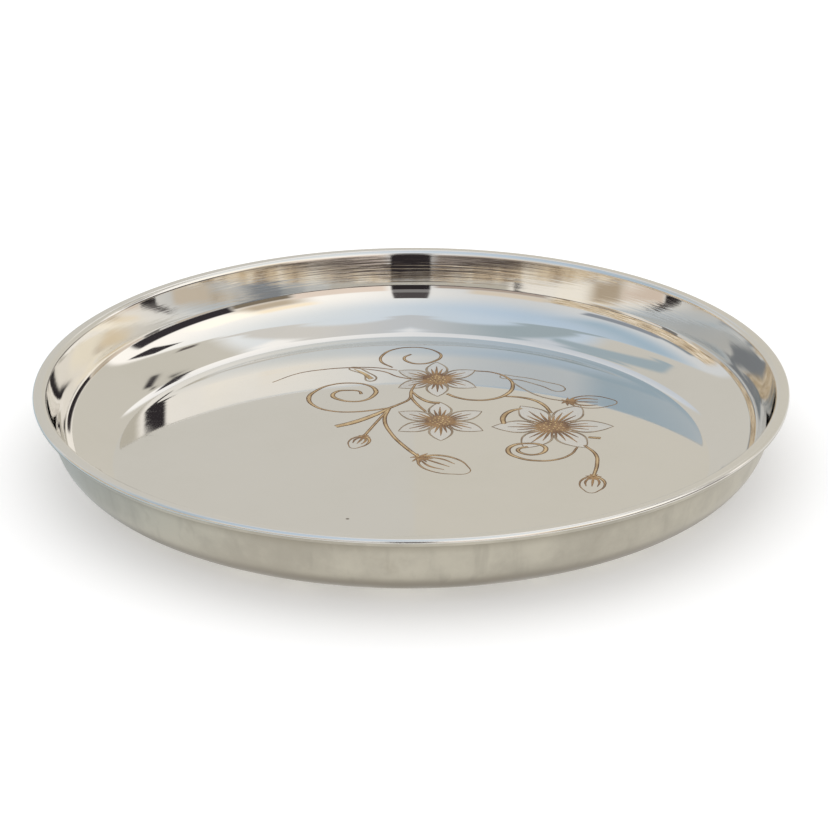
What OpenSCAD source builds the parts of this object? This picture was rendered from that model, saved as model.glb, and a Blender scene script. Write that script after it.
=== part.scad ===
// Thali: a round eating plate pressed from one steel sheet, with a rolled rim.
// The plate stands on z = 0, centred on the z axis.
// Its section runs from the flat floor out to the curled hem, and is turned round the axis.

/* [Plate] */
// Diameter over the rolled rim
plate_d = 300; // [240:1:360]
// Height from the table to the top of the rim
plate_h = 33; // [29:0.5:40]
// Thickness of the steel sheet
sheet_t = 0.7; // [0.5:0.05:1]

/* [Wall] */
// Angle of the upright collar above the floor, in degrees
collar_angle = 78.75; // [70:0.25:86]
// Angle of the sloping flare between the floor and the collar, in degrees
flare_angle = 27; // [20:1:35]
// Length of the flare, from its corner with the floor to its corner with the collar
flare_len = 21; // [16:0.5:26]
// Inside radius of the bend between the floor and the flare
heel_r = 3; // [2:0.5:6]
// Inside radius of the bend between the flare and the collar
shoulder_r = 13; // [8:0.5:16]

/* [Rolled rim] */
// Width of the rim, from the collar's inner face to the outer edge
rim_w = 5.5; // [5.2:0.1:9]
// Radius where the collar turns over into the top of the rim
lip_r = 2.2; // [1.6:0.1:2.6]
// Radius of the outer edge, from the top of the rim to its widest point
edge_r = 1.3; // [1.2:0.1:1.8]
// Radius of the roll below the widest point
curl_r = 1.9; // [1.3:0.1:2.2]
// Radius of the hem's tucked end inside the roll
tuck_r = 1.1; // [1.1:0.05:1.3]
// Gap between the tucked hem and the collar
hem_gap = 0.3; // [0.1:0.05:0.5]

/* [Hidden] */
$fn = 180;

// How far a chord of a drawn bend may lie from the true arc
chord_gap = 0.01;

// Widest point of the rim
edge_x = plate_d / 2;
edge_z = plate_h - edge_r;

// Top of the collar's inner face
collar_top_x = edge_x - rim_w;
collar_top_z = plate_h - lip_r * (1 - cos(collar_angle));

// Sharp corners of the inner face: collar with flare, and flare with floor
shoulder_z = sheet_t + flare_len * sin(flare_angle);
shoulder_x = collar_top_x - (collar_top_z - shoulder_z) / tan(collar_angle);
heel_x = shoulder_x - flare_len * cos(flare_angle);

// Each bend is tangent to both faces of its corner: how far along the flare it reaches
heel_reach = heel_r * tan(flare_angle / 2);
shoulder_reach = shoulder_r * tan((collar_angle - flare_angle) / 2);

// Centres of the bends, from the floor outwards
heel_centre = [heel_x - heel_reach, sheet_t + heel_r];
shoulder_centre = [
    shoulder_x - shoulder_reach * cos(flare_angle) - shoulder_r * sin(flare_angle),
    shoulder_z - shoulder_reach * sin(flare_angle) + shoulder_r * cos(flare_angle)
];
lip_centre = [collar_top_x + lip_r * sin(collar_angle), plate_h - lip_r];
edge_centre = [edge_x - edge_r, edge_z];
curl_centre = [edge_x - curl_r, edge_z];

// The tucked hem stands a set gap off the collar's outer face
tuck_z = edge_z - curl_r + tuck_r;
collar_back_x = collar_top_x - (collar_top_z - tuck_z) / tan(collar_angle) + sheet_t / sin(collar_angle);
tuck_centre = [collar_back_x + hem_gap + tuck_r, tuck_z];

// Points of an arc, both ends included, or the first left out where the arc carries on from another
function arc(centre, r, from, to, first = 0) =
    let (steps = ceil(abs(to - from) / (2 * acos(1 - chord_gap / r))))
    [for (i = [first:steps]) let (a = from + (to - from) * i / steps) centre + r * [cos(a), sin(a)]];

// One face of the sheet, from the axis to the end of the hem, at a depth below the upper face.
// Heel and shoulder are hollow from above, so their radii grow with depth, and the rim's bends shrink.
function face(depth) = concat(
    [[0, sheet_t - depth]],
    arc(heel_centre, heel_r + depth, -90, flare_angle - 90),
    arc(shoulder_centre, shoulder_r + depth, flare_angle - 90, collar_angle - 90),
    arc(lip_centre, lip_r - depth, collar_angle + 90, 90),
    arc(edge_centre, edge_r - depth, 90, 0),
    arc(curl_centre, curl_r - depth, 0, -90, 1),
    arc(tuck_centre, tuck_r - depth, 270, 180)
);

function backwards(list) = [for (i = [len(list) - 1:-1:0]) list[i]];

module plate() {
    color("silver")
        rotate_extrude()
            polygon(concat(face(0), backwards(face(sheet_t))));
}

plate();
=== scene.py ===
# %% [markdown]
# A thali is one round sheet of stainless steel, pressed into a dish and rolled over at its edge.
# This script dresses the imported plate: it turns the same section into a fine mesh that can carry a
# mirror polish, draws the etched flowers on the floor, and lights the plate in a plain pale studio.

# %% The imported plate
import math

import bmesh
import bpy
from mathutils import Matrix, Vector


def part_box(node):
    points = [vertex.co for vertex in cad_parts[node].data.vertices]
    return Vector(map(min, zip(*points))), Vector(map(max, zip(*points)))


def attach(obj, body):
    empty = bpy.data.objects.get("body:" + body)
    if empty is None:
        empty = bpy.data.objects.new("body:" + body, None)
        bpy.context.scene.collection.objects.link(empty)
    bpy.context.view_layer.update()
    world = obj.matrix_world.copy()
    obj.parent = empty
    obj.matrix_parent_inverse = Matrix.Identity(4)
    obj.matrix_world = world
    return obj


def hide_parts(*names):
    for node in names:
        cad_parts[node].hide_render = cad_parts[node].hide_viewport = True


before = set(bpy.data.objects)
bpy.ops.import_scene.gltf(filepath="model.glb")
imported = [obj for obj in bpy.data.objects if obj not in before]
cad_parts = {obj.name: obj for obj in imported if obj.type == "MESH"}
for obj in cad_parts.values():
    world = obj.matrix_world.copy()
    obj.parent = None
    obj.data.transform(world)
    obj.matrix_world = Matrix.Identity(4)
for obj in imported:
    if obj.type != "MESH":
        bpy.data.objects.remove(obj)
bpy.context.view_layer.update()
corner, far_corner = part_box("plate")
RIM_R = (far_corner.x - corner.x + far_corner.y - corner.y) / 4
PLATE_H = far_corner.z
print(f"plate: {2000 * RIM_R:.1f} mm across, {1000 * PLATE_H:.1f} mm high")

# %% [markdown]
# The camera looks down on the plate from about 23 degrees above the table, 1.2 m away, through a
# long lens, which keeps the far rim nearly as wide as the near one. It aims a little below the rim.

# %% Camera
PHOTO_SIDE = 828          # side of the photograph in pixels
FOCAL = 3000              # focal length in the same pixels
SENSOR = 36.0
VIEW_ELEVATION = math.radians(23.36)
VIEW_ROLL = math.radians(-0.23)
VIEW_DISTANCE = 7.975 * RIM_R
VIEW_ASIDE = 0.0075 * RIM_R
VIEW_DROP = 0.0905 * RIM_R
EQUATOR_Z = PLATE_H - 0.0013

camera = bpy.data.objects.new("camera", bpy.data.cameras.new("camera"))
bpy.context.scene.collection.objects.link(camera)
bpy.context.scene.camera = camera
camera.data.sensor_width = SENSOR
camera.data.lens = FOCAL / PHOTO_SIDE * SENSOR
camera.data.clip_end = 50
ahead = Vector((0, math.cos(VIEW_ELEVATION), -math.sin(VIEW_ELEVATION)))
upward = Vector((0, math.sin(VIEW_ELEVATION), math.cos(VIEW_ELEVATION)))
eye = Vector((VIEW_ASIDE, 0, EQUATOR_Z)) - VIEW_DISTANCE * ahead - VIEW_DROP * upward
turn = Matrix.Rotation(math.pi / 2 - VIEW_ELEVATION, 4, "X") @ Matrix.Rotation(VIEW_ROLL, 4, "Z")
camera.matrix_world = Matrix.Translation(eye) @ turn
print("camera at", [round(v, 3) for v in eye], "lens", round(camera.data.lens, 1), "mm")

# %% [markdown]
# Shader maths reads best as plain expressions. This small class wraps one socket, and adding or
# multiplying two of them adds the Math node that does it.

# %% Shader expressions
class Net:
    """One material's or world's node tree."""

    def __init__(self, owner):
        owner.use_nodes = True
        self.tree = owner.node_tree
        self.tree.nodes.clear()

    def node(self, kind, settings=None, out=0, **inputs):
        """Adds a node: its settings first, then its sockets by name, or i0, i1 by number."""
        new = self.tree.nodes.new(kind)
        for name, value in (settings or {}).items():
            if name == "stops":
                fill_ramp(new.color_ramp, value)
            else:
                setattr(new, name, value)
        for name, value in inputs.items():
            key = int(name[1:]) if name[0] == "i" and name[1:].isdigit() else name.replace("_", " ")
            self.plug(value, new.inputs[key])
        return Wire(self, new.outputs[out]) if len(new.outputs) else new

    def plug(self, value, socket):
        """Links a wire to a socket, or writes a plain value on it."""
        if isinstance(value, Wire):
            self.tree.links.new(value.socket, socket)
        else:
            socket.default_value = value


class Wire:
    """A socket that takes part in sums."""

    def __init__(self, net, socket):
        self.net, self.socket = net, socket

    def math(self, operation, *others):
        values = {f"i{i}": v for i, v in enumerate((self, *others))}
        return self.net.node("ShaderNodeMath", {"operation": operation}, **values)

    def __add__(self, other):
        return self.math("ADD", other)

    def __sub__(self, other):
        return self.math("SUBTRACT", other)

    def __rsub__(self, other):
        return self.math("MULTIPLY", -1) + other

    def __mul__(self, other):
        return self.math("MULTIPLY", other)

    def step(self, low, high):
        """0 below low, 1 above high, smooth between."""
        return self.net.node("ShaderNodeMapRange", {"interpolation_type": "SMOOTHSTEP"},
                             Value=self, From_Min=low, From_Max=high)


def fill_ramp(ramp, stops):
    while len(ramp.elements) > 1:
        ramp.elements.remove(ramp.elements[-1])
    ramp.elements[0].position = stops[0][0]
    ramp.elements[0].color = (*stops[0][1], 1)
    for place, colour in stops[1:]:
        ramp.elements.new(place).color = (*colour, 1)


def mix(net, factor, a, b):
    """Colour a where factor is 0, colour b where it is 1."""
    new = net.tree.nodes.new("ShaderNodeMix")
    new.data_type = "RGBA"
    for value, key in ((factor, 0), (a, 6), (b, 7)):
        net.plug((*value, 1) if isinstance(value, tuple) and len(value) == 3 else value, new.inputs[key])
    return Wire(net, new.outputs[2])


# %% [markdown]
# The section of the sheet runs from the middle of the floor up to the rim, over it and back under the
# roll, as in the solid. A mirror shows the least change of slope, so here the bends open a little
# more gently and the flare sags a hair, both by less than half a millimetre.

# %% Section of the sheet
SHEET_T = 0.0007
COLLAR_ANGLE = math.radians(78.75)
FLARE_ANGLE = math.radians(27)
FLARE_LEN = 0.021
HEEL_R = 0.016
SHOULDER_R = 0.017
FLARE_SAG = 0.00008       # a press leaves no face quite straight, and a mirror shows it
RIM_W = 0.0055
LIP_R = 0.0022
EDGE_R = 0.0013
CURL_R = 0.0019
TUCK_R = 0.0011
HEM_GAP = 0.0003
FLOOR_EDGE = 0.0004       # a last flat ring, which keeps the heel's shading off the floor
QUARTER = math.pi / 2

collar_top_x = RIM_R - RIM_W
collar_top_z = PLATE_H - LIP_R * (1 - math.cos(COLLAR_ANGLE))
shoulder_z = SHEET_T + FLARE_LEN * math.sin(FLARE_ANGLE)
shoulder_x = collar_top_x - (collar_top_z - shoulder_z) / math.tan(COLLAR_ANGLE)
heel_x = shoulder_x - FLARE_LEN * math.cos(FLARE_ANGLE)
heel_reach = HEEL_R * math.tan(FLARE_ANGLE / 2)
shoulder_reach = SHOULDER_R * math.tan((COLLAR_ANGLE - FLARE_ANGLE) / 2)
FLOOR_R = heel_x - heel_reach
bend_x = shoulder_x - shoulder_reach * math.cos(FLARE_ANGLE) - SHOULDER_R * math.sin(FLARE_ANGLE)
bend_z = shoulder_z - shoulder_reach * math.sin(FLARE_ANGLE) + SHOULDER_R * math.cos(FLARE_ANGLE)
edge_z = PLATE_H - EDGE_R
tuck_z = edge_z - CURL_R + TUCK_R
collar_back_x = (collar_top_x - (collar_top_z - tuck_z) / math.tan(COLLAR_ANGLE)
                 + SHEET_T / math.sin(COLLAR_ANGLE))
lip_x = collar_top_x + LIP_R * math.sin(COLLAR_ANGLE)
tuck_x = collar_back_x + HEM_GAP + TUCK_R
COLLAR_FOOT = bend_z - SHOULDER_R * math.cos(COLLAR_ANGLE)
print(f"flat floor radius {1000 * FLOOR_R:.1f} mm, collar from {1000 * COLLAR_FOOT:.1f} mm up")


def arc(cx, cz, radius, start, end, step=math.radians(3), first=0):
    count = max(6, math.ceil(abs(end - start) / step))
    return [(cx + radius * math.cos(start + (end - start) * i / count),
             cz + radius * math.sin(start + (end - start) * i / count)) for i in range(first, count + 1)]


def sagged(start, end, count=10):
    """Points between the two ends of the flare, pressed down a little in the middle."""
    points = []
    for i in range(1, count):
        t = i / count
        sag = FLARE_SAG * 4 * t * (1 - t)
        points.append((start[0] + (end[0] - start[0]) * t + sag * math.sin(FLARE_ANGLE),
                       start[1] + (end[1] - start[1]) * t - sag * math.cos(FLARE_ANGLE)))
    return points


def face(depth):
    heel = arc(FLOOR_R, SHEET_T + HEEL_R, HEEL_R + depth, -QUARTER, FLARE_ANGLE - QUARTER, math.radians(2))
    bend = arc(bend_x, bend_z, SHOULDER_R + depth, FLARE_ANGLE - QUARTER, COLLAR_ANGLE - QUARTER,
               math.radians(2))
    lip = arc(lip_x, PLATE_H - LIP_R, LIP_R - depth, COLLAR_ANGLE + QUARTER, QUARTER, math.radians(6))
    return [(0, SHEET_T - depth), (FLOOR_R * 0.5, SHEET_T - depth), (FLOOR_R - FLOOR_EDGE, SHEET_T - depth),
            *heel, *sagged(heel[-1], bend[0]), *bend, *lip,
            *arc(RIM_R - EDGE_R, edge_z, EDGE_R - depth, QUARTER, 0, math.radians(9)),
            *arc(RIM_R - CURL_R, edge_z, CURL_R - depth, 0, -QUARTER, math.radians(9), first=1),
            *arc(tuck_x, tuck_z, TUCK_R - depth, 3 * QUARTER, 2 * QUARTER, math.radians(15))]


# %% [markdown]
# Spinning the section once round the axis gives the whole plate. The press polishes only what faces
# the food: the inside and the top of the rim are bright, the rest is left satin.

# %% The plate
AROUND = 384
mesh = bmesh.new()
ring = [mesh.verts.new((x, 0, z)) for x, z in face(0) + face(SHEET_T)[::-1]]
edges = [mesh.edges.new((a, b)) for a, b in zip(ring, ring[1:])]
bmesh.ops.spin(mesh, geom=ring + edges, cent=(0, 0, 0), axis=(0, 0, 1), angle=2 * math.pi,
               steps=AROUND, use_merge=True)
bmesh.ops.remove_doubles(mesh, verts=mesh.verts, dist=1e-6)
bmesh.ops.recalc_face_normals(mesh, faces=mesh.faces)
for f in mesh.faces:
    f.smooth = True
    c = f.calc_center_median()
    r = math.hypot(c.x, c.y)
    # the satin finish covers the underside, the outer wall and the lower half of the roll
    outside = f.normal.z < -0.02 or (f.normal.x * c.x + f.normal.y * c.y) > 0.5 * r
    f.material_index = 1 if outside and c.z < edge_z + 0.0001 else 0
data = bpy.data.meshes.new("plate_sheet")
mesh.to_mesh(data)
mesh.free()
plate = bpy.data.objects.new("plate_sheet", data)
bpy.context.scene.collection.objects.link(plate)
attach(plate, "root")
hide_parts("plate")
print("plate mesh:", sum(len(p.vertices) - 2 for p in data.polygons), "triangles")

# %% [markdown]
# The flowers on the floor are burnt into the polish with a laser, which leaves thin brown lines with
# no depth to speak of. A painted mask would need a formula for every tendril. Instead each line is a
# curve through a few points, as thick as its own taper, pressed flat into a ribbon on the steel.

# %% Pens
MM = 0.001
INK_LIFT = 0.00002
INK_FLATNESS = 0.02


def pen(name):
    """A curve object that collects strokes, in plate coordinates."""
    curve = bpy.data.curves.new(name, "CURVE")
    curve.dimensions = "3D"
    curve.twist_mode = "Z_UP"
    curve.bevel_depth = MM
    curve.bevel_resolution = 1
    curve.use_fill_caps = True
    curve.resolution_u = 8
    return bpy.data.objects.new(name, curve)


def stroke(tool, points, widths, closed=False, sharp=()):
    """A smooth line through points in millimetres; widths are spread evenly along it."""
    line = tool.data.splines.new("BEZIER")
    line.bezier_points.add(len(points) - 1)
    line.use_cyclic_u = closed
    for i, (place, point) in enumerate(zip(points, line.bezier_points)):
        point.co = (place[0] * MM, place[1] * MM, 0)
        handle = "VECTOR" if i in sharp else "AUTO"
        point.handle_left_type = point.handle_right_type = handle
        along = i / max(len(points) - 1, 1) * (len(widths) - 1)
        k = min(int(along), len(widths) - 2)
        point.radius = (widths[k] + (widths[k + 1] - widths[k]) * (along - k)) / 2


def moved(points, at, turn=0, size=1):
    """Points of a unit shape, sized, turned by degrees and moved to their place."""
    c, s = math.cos(math.radians(turn)) * size, math.sin(math.radians(turn)) * size
    return [(at[0] + x * c - y * s, at[1] + x * s + y * c) for x, y in points]


def mirrored(half):
    """A half outline along x, followed by its mirror image back to the start."""
    return half + [(x, -y) for x, y in half[-2::-1]]


stems, gilt = pen("etched_stems"), pen("etched_gilt")
petals, hearts = pen("etched_petals"), pen("etched_hearts")
WEIGHT = 1.15             # widths are drawn a little heavier than they are listed
DARK_EDGE = 0.5           # how much wider the dark line is, in millimetres
GILT_EDGE = 0.35          # how much narrower the gilt line is
GILT_LEAST = 0.12


def stem(points, widths, closed=False):
    """A dark line with a gilt middle, as the beam leaves where it lingers."""
    stroke(stems, points, [w * WEIGHT + DARK_EDGE for w in widths], closed)
    stroke(gilt, points, [max(w * WEIGHT - GILT_EDGE, GILT_LEAST) for w in widths], closed)


# %% [markdown]
# All three flowers are one drawing at different sizes: six pointed petals in outline on a frosted
# ground, stamens that fan out over each petal, and a heart of dots set out like sunflower seeds.

# %% Flowers
PETAL_HALF = [(0.30, 0.168), (0.56, 0.235), (0.80, 0.155), (1, 0)]
PETAL_WIDTHS = (1.2, 1.0, 0.65, 0.45, 0.65, 1.0, 1.2)
STAMENS = [(0, 0.74), (-12, 0.60), (12, 0.60), (-24, 0.45), (24, 0.45)]     # degrees off the petal, reach
SEEDS = 20
GOLDEN_TURN = 137.5
dots, discs, frost = bmesh.new(), bmesh.new(), bmesh.new()


def flower(at, size, turn, heart):
    for k in range(6):
        angle = turn + 60 * k
        outline = moved(mirrored(PETAL_HALF), at, angle, size)
        stroke(petals, outline, PETAL_WIDTHS, sharp={3})
        frost.faces.new([frost.verts.new((px * MM, py * MM, 0)) for px, py in outline])
        for off, reach in STAMENS:
            line = [(heart * 0.4 / size, 0), (reach * 0.6, 0.008), (reach, 0)]
            stroke(hearts, moved(line, at, angle + off, size), (1.2, 1.25, 0.35))
    disc = Matrix.Translation((at[0] * MM, at[1] * MM, 0))
    bmesh.ops.create_circle(discs, cap_ends=True, segments=32, radius=heart * 0.95 * MM, matrix=disc)
    for k in range(SEEDS):
        x, y = moved([(heart * 0.9 * math.sqrt((k + 0.5) / SEEDS), 0)], at, GOLDEN_TURN * k)[0]
        place = Matrix.Translation((x * MM, y * MM, 0)) @ Matrix.Diagonal((1, 1, INK_FLATNESS, 1))
        bmesh.ops.create_icosphere(dots, subdivisions=1, radius=0.6 * MM, matrix=place)


flower((11, 75), 19, 30, 4.5)
flower((12, 30), 20, 30, 5)
flower((58, 24), 25, 0, 6)

# %% [markdown]
# A bud is an egg-shaped outline with a few veins, held by a calyx of short thick strokes.

# %% Buds
BUD_HALF = [(0.04, 0.08), (0.20, 0.24), (0.50, 0.31), (0.82, 0.2), (1, 0)]
CALYX = [(-0.10, 0.10), (0.02, 0.20), (0.16, 0.23), (0.22, 0.08), (0.22, -0.08), (0.16, -0.23), (0.02, -0.20),
         (-0.10, -0.10)]


def bud(at, size, turn, weight=1):
    widths = [w * weight for w in (1.0, 0.9, 0.5, 0.1, -0.1, 0, 0.2, 0.5, 0.8)]
    stem(moved(mirrored(BUD_HALF), at, turn, size), widths)
    for x, y in CALYX:
        stroke(hearts, moved([(0, 0), (x * 0.6, y * 0.45), (x, y)], at, turn, size), (1.5, 1.3, 0.4))
    for y in (-0.16, 0, 0.15):
        vein = [(0.1, y * 0.5), (0.35, y * 1.1), (0.62, y * 0.9)]
        stroke(hearts, moved(vein, at, turn, size), (0.9, 1.1, 0.4))


bud((-19, 15), 13, -112)
bud((3, -6), 25, -38)
bud((72, -25), 16, -97)
bud((65, 50), 21, -3, weight=0.35)

# %% [markdown]
# Stems and scrolls run through places chosen on the plate, in millimetres from its centre. The pen
# presses harder at the outside of each curl, so a stroke lists its widths as well as its points.

# %% Stems and scrolls
fork, knot = (0, 62), (-9, 44)
stem([(2, 70), fork, (-1, 53), (-5, 48), knot], (0.4, 0.7, 0.7, 0.8, 1.1))
stem([knot, (-15, 42), (-24, 40), (-33, 41), (-40, 46), (-43, 55), (-40, 63), (-34, 69), (-26, 71),
      (-19, 69), (-15, 63), (-16, 57), (-20, 52), (-25, 51), (-30, 53), (-33, 57), (-31, 62),
      (-27, 63), (-22, 62), (-21, 59)],
       (0.9, 0.6, 0.5, 0.5, 0.8, 1.5, 0.9, 0.5, 0.5, 0.6, 1.5, 1.3, 0.7, 0.6, 1.0, 1.4, 0.9, 0.6, 0.5, 1.0))
stem([knot, (-15, 37), (-24, 29), (-31, 25)], (0.8, 2.0, 2.4, 2.0))
stem([knot, (-13, 33), (-19, 16)], (0.9, 0.7, 0.8))
stem([knot, (-11, 32), (-8, 17), (-2, 3), (3, -6)], (0.8, 1.2, 1.0, 1.2, 1.1))
stem([fork, (0, 56), (2, 49), (6, 40)], (0.8, 0.9, 0.6))
stem([fork, (4, 54), (8, 50), (12, 49)], (0.5, 1.3, 1.5))
stroke(stems, [(-59, 72), (-48, 82), (-38, 86), (-27, 88), (-16, 88), (-6, 85)], (0.4, 0.7, 0.9, 0.7))
stroke(stems, [(-27, 88), (-18, 86), (-11, 83), (-6, 78), (0, 75)], (0.6, 0.8, 0.9))
stroke(gilt, [(-24.5, 86.5), (-20, 81), (-17, 75.5)], (0.4, 1.8, 2.4))
stroke(petals, [(-26, 88), (-20, 80), (-18, 73), (-15, 75), (-18, 82)], (0.7, 0.9, 0.8), closed=True)
stem([(-8, 88), (-13, 95), (-12, 103), (-7, 109), (0, 111), (6, 110), (11, 106), (13, 101),
      (10, 95), (4, 92), (-1, 94), (-3, 99), (0, 103)], (0.3, 0.9, 0.4, 0.2, 0.4, 0.9, 0.5, 0.9, 0.4))
stem([(27, 84), (35, 82), (41, 76), (43, 67), (40, 58), (34, 53), (26, 52), (19, 55), (15, 59)],
       (0.35, 0.4, 0.7, 1.4, 1.1, 0.7, 0.8, 0.9))
stroke(petals, [(38, 78), (46, 77), (56, 72), (65, 64), (63, 61), (55, 67), (47, 73)],
       (0.6, 0.7), closed=True)
stroke(petals, [(41, 75), (48, 63), (55, 55), (65, 50)], (0.7, 0.8, 1.0))
stem([(39, 56), (45, 55), (51, 52), (55, 47), (58, 38)], (0.6, 1.0, 1.3, 0.9))
stem([(46, 43), (41, 40), (38, 34), (38, 27)], (0.6, 1.6, 1.8, 1.4))
stem([(67, 3), (64, -4), (58, -9), (50, -10), (43, -7), (39, -1), (41, 5), (46, 7), (53, 5), (54, 0),
      (50, -4), (45, -3), (43, 1), (47, 4)],
       (0.5, 0.6, 0.7, 0.8, 1.0, 1.5, 1.3, 0.8, 1.2, 1.4, 0.8, 0.8, 1.2, 0.7))
stem([(70, 5), (74, -4), (74, -14), (72, -25)], (0.6, 1.2, 0.9))
stem([(72, 13), (77, 12)], (1.1, 1.4))


def press(tool, lift):
    """Turns a pen's curve into a flat mesh on the floor of the plate."""
    bpy.context.scene.collection.objects.link(tool)
    ribbon = bpy.data.meshes.new_from_object(tool.evaluated_get(bpy.context.evaluated_depsgraph_get()))
    name, curve = tool.name, tool.data
    bpy.data.objects.remove(tool)
    bpy.data.curves.remove(curve)
    flat = bmesh.new()
    flat.from_mesh(ribbon)
    bmesh.ops.transform(flat, matrix=Matrix.Diagonal((1, 1, INK_FLATNESS, 1)), verts=flat.verts)
    settle(flat, name, lift)


def settle(flat, name, lift):
    """Lifts flat line work on to the steel and makes it a piece of the plate."""
    bmesh.ops.translate(flat, vec=(0, 0, SHEET_T + lift), verts=flat.verts)
    for f in flat.faces:
        f.smooth = True
    lines = bpy.data.meshes.new(name)
    flat.to_mesh(lines)
    flat.free()
    lines.materials.clear()
    piece = bpy.data.objects.new(name, lines)
    bpy.context.scene.collection.objects.link(piece)
    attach(piece, "root")
    print(name, len(lines.polygons), "faces")


for tool in (stems, petals, hearts):
    press(tool, INK_LIFT)
press(gilt, 2.5 * INK_LIFT)
settle(frost, "etched_frost", 0.3 * INK_LIFT)
settle(discs, "etched_discs", 2.2 * INK_LIFT)
settle(dots, "etched_seeds", 2.5 * INK_LIFT)

# %% [markdown]
# Polished steel is a coloured mirror. What makes it steel and not chrome is in its faults: rings that
# the polishing wheel leaves on the wall, a film of finger smears, and hairline scratches on the floor.

# %% Polished side
POLISH_DEPTH = 0.0000012  # how deep the wheel's rings and the scratches are


def rings(net, place, fineness):
    """Noise that changes fast across the plate's radius and height, and slowly around it."""
    x, y, z = (net.node("ShaderNodeSeparateXYZ", out=i, Vector=place) for i in range(3))
    across = (x * x + y * y).math("SQRT") + z
    ringed = net.node("ShaderNodeCombineXYZ", X=x * 12, Y=y * 12, Z=across * fineness)
    return net.node("ShaderNodeTexNoise", out="Fac", Vector=ringed, Scale=1.0, Detail=3.0, Roughness=0.6)


def hairlines(net, place, turn, seed):
    """Thin straight scratches in one direction, here and there."""
    turned = net.node("ShaderNodeMapping", Vector=place, Location=(seed, 0, 0), Rotation=(0, 0, turn),
                      Scale=(14, 1400, 14))
    lines = net.node("ShaderNodeTexNoise", out="Fac", Vector=turned, Scale=1.0, Detail=1.0)
    return lines.step(0.70, 0.76)


def mirror_steel():
    material = bpy.data.materials.new("mirror_steel")
    net = Net(material)
    place = net.node("ShaderNodeTexCoord", out="Object")
    z = net.node("ShaderNodeSeparateXYZ", out=2, Vector=place)
    wall = z.step(SHEET_T + 0.2 * MM, SHEET_T + 3 * MM)
    smears = net.node("ShaderNodeTexNoise", out="Fac", Vector=place, Scale=22.0, Detail=5.0, Roughness=0.6)
    scratches = hairlines(net, place, 0.5, 0) + hairlines(net, place, 2.1, 3) + hairlines(net, place, 1.2, 7)
    specks = net.node("ShaderNodeTexVoronoi", out="Distance", Vector=place, Scale=38.0)
    pits = 1 - specks.step(0.02, 0.035)
    collar = z.step(COLLAR_FOOT - MM, COLLAR_FOOT + MM)
    grain = rings(net, place, 900) * (collar * 9.0 + wall * 0.5)
    height = grain + (scratches * -0.5 - pits * 1.2) * (1 - wall)
    normal = net.node("ShaderNodeBump", Height=height, Strength=1.0, Distance=POLISH_DEPTH)
    rim = z.step(PLATE_H - 2.5 * MM, PLATE_H - 1.2 * MM)
    roughness = smears.step(0.35, 0.75) * 0.045 + scratches * (1 - wall) * 0.05 + rim * 0.10 + 0.022
    tint = mix(net, smears.step(0.4, 0.7), (0.80, 0.785, 0.755), (0.785, 0.77, 0.735))
    colour = mix(net, pits * (1 - wall), tint, (0.28, 0.25, 0.22))
    shader = net.node("ShaderNodeBsdfPrincipled", Base_Color=colour, Metallic=1.0, Roughness=roughness,
                      Normal=normal)
    net.node("ShaderNodeOutputMaterial", Surface=shader)
    return material


# %% [markdown]
# The outside is only pickled and brushed: it scatters what it reflects, with cloudy patches and upright
# drawing marks from the press. Painted shade darkens the lower wall, most of all in a band near its foot
# where the wall turns under to the table, and a line of painted shade lies in the crease under the rim.

# %% Satin side
BRUSH_DEPTH = 0.000004


def satin_steel():
    material = bpy.data.materials.new("satin_steel")
    net = Net(material)
    place = net.node("ShaderNodeTexCoord", out="Object")
    x, y, z = (net.node("ShaderNodeSeparateXYZ", out=i, Vector=place) for i in range(3))
    upright = net.node("ShaderNodeCombineXYZ", X=x * 160, Y=y * 160, Z=z * 12)
    marks = net.node("ShaderNodeTexNoise", out="Fac", Vector=upright, Scale=1.0, Detail=3.0)
    clouds = net.node("ShaderNodeTexNoise", out="Fac", Vector=place, Scale=26.0, Detail=6.0, Roughness=0.62)
    grain = rings(net, place, 2600)
    # painted shade: the lower wall grows darker towards the table, most of all in a band near its foot
    flare = z.step(2 * MM, 9 * MM)
    foot_painted_shade = flare * (1 - z.step(9.5 * MM, 14.5 * MM))
    lower_painted_shade = flare * (1 - z.step(4 * MM, 18 * MM))
    # painted shade in the crease under the roll of the rim
    crease_painted_shade = z.step(24 * MM, 29 * MM) * (1 - z.step(29.8 * MM, 30.5 * MM))
    stains = net.node("ShaderNodeTexNoise", out="Fac", Vector=place, Scale=70.0, Detail=4.0).step(0.56, 0.70)
    colour = mix(net, clouds.step(0.38, 0.66), (0.48, 0.45, 0.385), (0.62, 0.585, 0.50))
    colour = mix(net, marks.step(0.55, 0.72) * 0.35, colour, (0.40, 0.375, 0.32))
    # painted shade on the lower wall, in the crease under the rim and near the foot; the stains are the
    # steel's own
    colour = mix(net, lower_painted_shade * 0.8, colour, (0.25, 0.22, 0.17))
    colour = mix(net, crease_painted_shade * 0.55, colour, (0.30, 0.27, 0.21))
    colour = mix(net, stains * 0.30, colour, (0.40, 0.36, 0.29))
    colour = mix(net, foot_painted_shade * 0.55, colour, (0.16, 0.13, 0.10))
    roughness = clouds.step(0.3, 0.7) * 0.14 + 0.27
    normal = net.node("ShaderNodeBump", Height=grain + marks * 2.0, Strength=1.0, Distance=BRUSH_DEPTH)
    shader = net.node("ShaderNodeBsdfPrincipled", Base_Color=colour, Metallic=1.0, Roughness=roughness,
                      Normal=normal)
    net.node("ShaderNodeOutputMaterial", Surface=shader)
    return material


# %% [markdown]
# The burnt lines are half metal, half brown oxide. The beam's edge is darkest, and the middle of a
# broad stroke turns gold. Petals are only frosted, so they blur what the floor mirrors.

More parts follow.
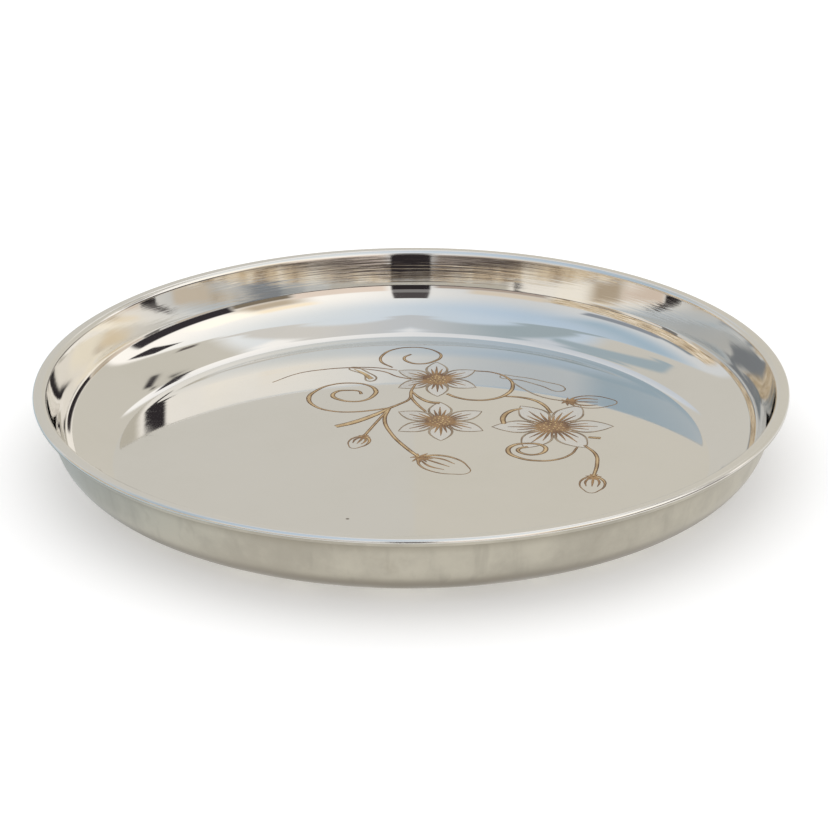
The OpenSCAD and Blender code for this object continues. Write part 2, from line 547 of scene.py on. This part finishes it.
# %% Burnt lines
def burnt_line(name, dark, pale):
    material = bpy.data.materials.new(name)
    net = Net(material)
    place = net.node("ShaderNodeTexCoord", out="Object")
    patches = net.node("ShaderNodeTexNoise", out="Fac", Vector=place, Scale=160.0, Detail=3.0)
    shader = net.node("ShaderNodeBsdfPrincipled", Base_Color=mix(net, patches.step(0.35, 0.65), dark, pale),
                      Metallic=0.35, Roughness=0.5)
    net.node("ShaderNodeOutputMaterial", Surface=shader)
    return material


data.materials.append(mirror_steel())
data.materials.append(satin_steel())
INKS = {
    "etched_stems": ((0.20, 0.10, 0.05), (0.36, 0.21, 0.10)),
    "etched_gilt": ((0.44, 0.30, 0.15), (0.66, 0.49, 0.27)),
    "etched_petals": ((0.27, 0.19, 0.12), (0.42, 0.33, 0.23)),
    "etched_hearts": ((0.22, 0.12, 0.06), (0.42, 0.25, 0.11)),
    "etched_discs": ((0.22, 0.12, 0.06), (0.36, 0.21, 0.10)),
    "etched_seeds": ((0.62, 0.42, 0.18), (0.82, 0.60, 0.30)),
}
for name, (dark, pale) in INKS.items():
    bpy.data.objects[name].data.materials.append(burnt_line(name, dark, pale))

frosted = bpy.data.materials.new("frosted_steel")
net = Net(frosted)
shader = net.node("ShaderNodeBsdfPrincipled", Base_Color=(0.80, 0.78, 0.75, 1), Metallic=1.0, Roughness=0.3)
net.node("ShaderNodeOutputMaterial", Surface=shader)
bpy.data.objects["etched_frost"].data.materials.append(frosted)

# %% [markdown]
# The plate stands on a plain white floor that takes its shadow. What the steel mirrors of it is not lit
# but glows: a cloth of a light warm grey, cooler on the left, because polished metal on pure white looks
# empty.

# %% Studio floor
floor_mesh = bmesh.new()
bmesh.ops.create_grid(floor_mesh, x_segments=1, y_segments=1, size=3)
floor_data = bpy.data.meshes.new("studio_floor")
floor_mesh.to_mesh(floor_data)
floor_mesh.free()
floor = bpy.data.objects.new("studio_floor", floor_data)
bpy.context.scene.collection.objects.link(floor)
floor_material = bpy.data.materials.new("studio_floor")
net = Net(floor_material)
is_glossy = net.node("ShaderNodeLightPath", out="Is Glossy Ray")
paper = net.node("ShaderNodeBsdfDiffuse", Color=(0.9, 0.9, 0.9, 1))
spot = net.node("ShaderNodeTexCoord", out="Object")
spot_x = net.node("ShaderNodeSeparateXYZ", out=0, Vector=spot)
cloth_glow_colour = mix(net, spot_x.step(-0.20, -0.06), (0.56, 0.65, 0.71), (0.86, 0.85, 0.82))  # cool to warm
# only reflections see this glow, which stands in for a lit cloth
cloth_glow = net.node("ShaderNodeEmission", Color=cloth_glow_colour, Strength=1.0)
glow = net.node("ShaderNodeEmission", Color=(1, 1, 1, 1), Strength=0.25)
seen = net.node("ShaderNodeAddShader", i0=paper, i1=glow)
surface = net.node("ShaderNodeMixShader", i0=is_glossy, i1=seen, i2=cloth_glow)
net.node("ShaderNodeOutputMaterial", Surface=surface)
floor_data.materials.append(floor_material)

# %% [markdown]
# A polished plate shows its surroundings more than itself, so the studio is a ring of cards that only
# reflections see: pale paper behind, a blue sheet on the left, cream and tan reflectors on the right,
# black flags low down, and a sky above that is blue on the left and white on the right. Each card is a
# span of azimuth and elevation, in degrees, with a soft edge; one that leans rises by so many degrees
# for each degree of azimuth. A card covers those above it in the list.

# %% Cards
world = bpy.data.worlds.new("studio")
bpy.context.scene.world = world
net = Net(world)
direction = net.node("ShaderNodeTexCoord", out="Generated")
x, y, z = (net.node("ShaderNodeSeparateXYZ", out=i, Vector=direction) for i in range(3))
elevation = z.math("ARCSINE") * (180 / math.pi)
azimuth = x.math("ARCTAN2", y * -1) * (180 / math.pi)      # 0 is at the camera, 90 to its right, 180 behind
aside = azimuth.math("ABSOLUTE")
slanting = aside + elevation * 0.44                        # an upright edge that leans inwards as it rises


def span(angle, start, end, soft):
    return angle.step(start - soft, start + soft) * (1 - angle.step(end - soft, end + soft))


right = x.step(-0.6, 0.6)
behind = x.step(-0.3, 0.3)
low_sky = mix(net, right, (0.76, 0.78, 0.80), (1.25, 1.21, 1.16))
high_sky = mix(net, right, (0.50, 0.65, 0.83), (0.95, 0.98, 1.00))
board = mix(net, x.step(0, 0.2), (0.63, 0.66, 0.70), (0.76, 0.74, 0.71))
board = mix(net, x.step(-0.2, 0), (0.40, 0.48, 0.53), board)
strip = mix(net, behind, (0.67, 0.72, 0.80), (1.16, 1.14, 1.12))
black = (0.04, 0.035, 0.04)
CARDS = [
    # name, angle used, from and to, elevation from and to, lean, softness, colour
    ("tan card, right", azimuth, 38, 62, 14, 33, 0, 7, (0.62, 0.52, 0.40)),
    ("tan reflector, right", azimuth, 36, 60, 33, 42, 0, 4, (1.21, 1.05, 0.82)),
    ("cream reflector, right", azimuth, 60, 84, 24, 40, 0, 5, (1.38, 1.30, 1.15)),
    ("cream skirting, right", azimuth, 8, 40, 4, 20, 0, 2, (0.94, 0.80, 0.70)),
    ("brown skirting, right", azimuth, 40, 62, 4, 14, 0, 2, (0.24, 0.20, 0.15)),
    ("black flag, wide", azimuth, 62, 104, 4, 19, 0, 1.5, black),
    ("black flag, tall", azimuth, 103, 113.5, 26, 41, -0.5, 1, black),
    ("brown skirting, left", azimuth, -46, -8, 4, 12, 0, 2, (0.48, 0.40, 0.35)),
    ("tan skirting, left", azimuth, -47, -20, 12, 24, 0, 3, (0.80, 0.71, 0.60)),
    ("slate board, low left", azimuth, -112, -82, 17, 24.5, 0, 2, (0.26, 0.30, 0.34)),
    ("black stick, left", azimuth, -93, -88, 15, 22, 0, 1, (0.03, 0.03, 0.03)),
    ("blue sheet, left", azimuth, -130, -72, 36, 56, 0, 10, (0.44, 0.57, 0.69)),
    ("warm paper behind", azimuth, 117, 200, -9, 58, 0, 2.5, (0.69, 0.66, 0.59)),
    ("cool paper behind", azimuth, -200, -128, -9, 58, 0, 2.5, (0.68, 0.66, 0.61)),
    ("slot in the paper", azimuth, -149, -143.9, 44, 63, 0, 0.8, (0.40, 0.49, 0.55)),
    ("grey clip", azimuth, 122, 131, 50, 54, 0, 1, (0.16, 0.14, 0.13)),
    ("slate board, leaning", azimuth, -96, -64, 21.5, 30, 0.2, 1.5, (0.31, 0.34, 0.39)),
    ("bright strip behind", slanting, 174.5, 240, 39.6, 72.6, 0.25, 1.5, strip),
    ("grey board above", aside, 124, 200, 68.5, 76.5, 0.3, 1.2, board),
    ("black clip", azimuth, 150.5, 164, 42, 45.8, -0.5, 0.6, black),
    ("second clip", azimuth, 148.5, 153, 41.2, 42.8, -0.8, 0.5, black),
]
sky = mix(net, elevation.step(25, 75), low_sky, high_sky)
for name, angle, start, end, low, high, lean, soft, colour in CARDS:
    height = elevation - (angle - (start + end) / 2) * lean if lean else elevation
    sky = mix(net, span(angle, start, end, soft) * span(height, low, high, soft), sky, colour)
print(len(CARDS), "cards")

# %% [markdown]
# The upright collar sees only the last few degrees above the table, and the bend under it the next
# twenty. Streaks of gold, brown and black there give the busy bands that a polished rim has in any
# real room. A mirror also shows what stands in front of it, so a plain dark card hangs there. Seen
# from behind, the whole floor mirrors the middle of that card, so its middle is a lighter grey.

# %% Skyline
place = net.node("ShaderNodeCombineXYZ", X=azimuth * 0.11, Y=elevation * 1.5)
tones = net.node("ShaderNodeTexNoise", out="Fac", Vector=place, Scale=1.0, Detail=4.0, Roughness=0.62)
STREAKS = [(0.34, (0.06, 0.04, 0.03)), (0.41, (0.30, 0.21, 0.13)), (0.50, (0.80, 0.64, 0.43)),
           (0.60, (1.05, 0.98, 0.86))]
streaks = net.node("ShaderNodeValToRGB", {"stops": STREAKS}, Fac=tones)
BELOW = -9                # degrees under the horizon, where the table hides everything
SKYLINE = 3.2             # top of the streaks, in degrees
skyline = span(elevation, BELOW, SKYLINE, 0.3)
around = 1 - aside.step(114, 119)
sky = mix(net, around * skyline, sky, streaks)
sky = mix(net, span(azimuth, -119, -47, 3) * span(elevation, BELOW, 21, 1.5), sky, streaks)
sky = mix(net, around * span(elevation, SKYLINE, 4.8, 0.3), sky, (0.10, 0.08, 0.07))
in_front = 1 - aside.step(6, 7)
sky = mix(net, in_front * span(elevation, 15, 27, 1), sky, (0.26, 0.25, 0.25))
sky = mix(net, in_front * span(elevation, 25.5, 43, 0.8), sky, (0.09, 0.08, 0.082))
sky = mix(net, in_front * skyline * 0.65, sky, (0.06, 0.05, 0.05))
sky = mix(net, in_front * span(elevation, SKYLINE, 16.5, 0.3), sky, (0.03, 0.025, 0.027))
print(len(world.node_tree.nodes), "nodes in the studio's world")
is_glossy = net.node("ShaderNodeLightPath", out="Is Glossy Ray")
backdrop = net.node("ShaderNodeBackground", Color=mix(net, is_glossy, (1, 1, 1), sky), Strength=1.0)
net.node("ShaderNodeOutputWorld", Surface=backdrop)

bpy.context.scene.view_settings.view_transform = "Standard"
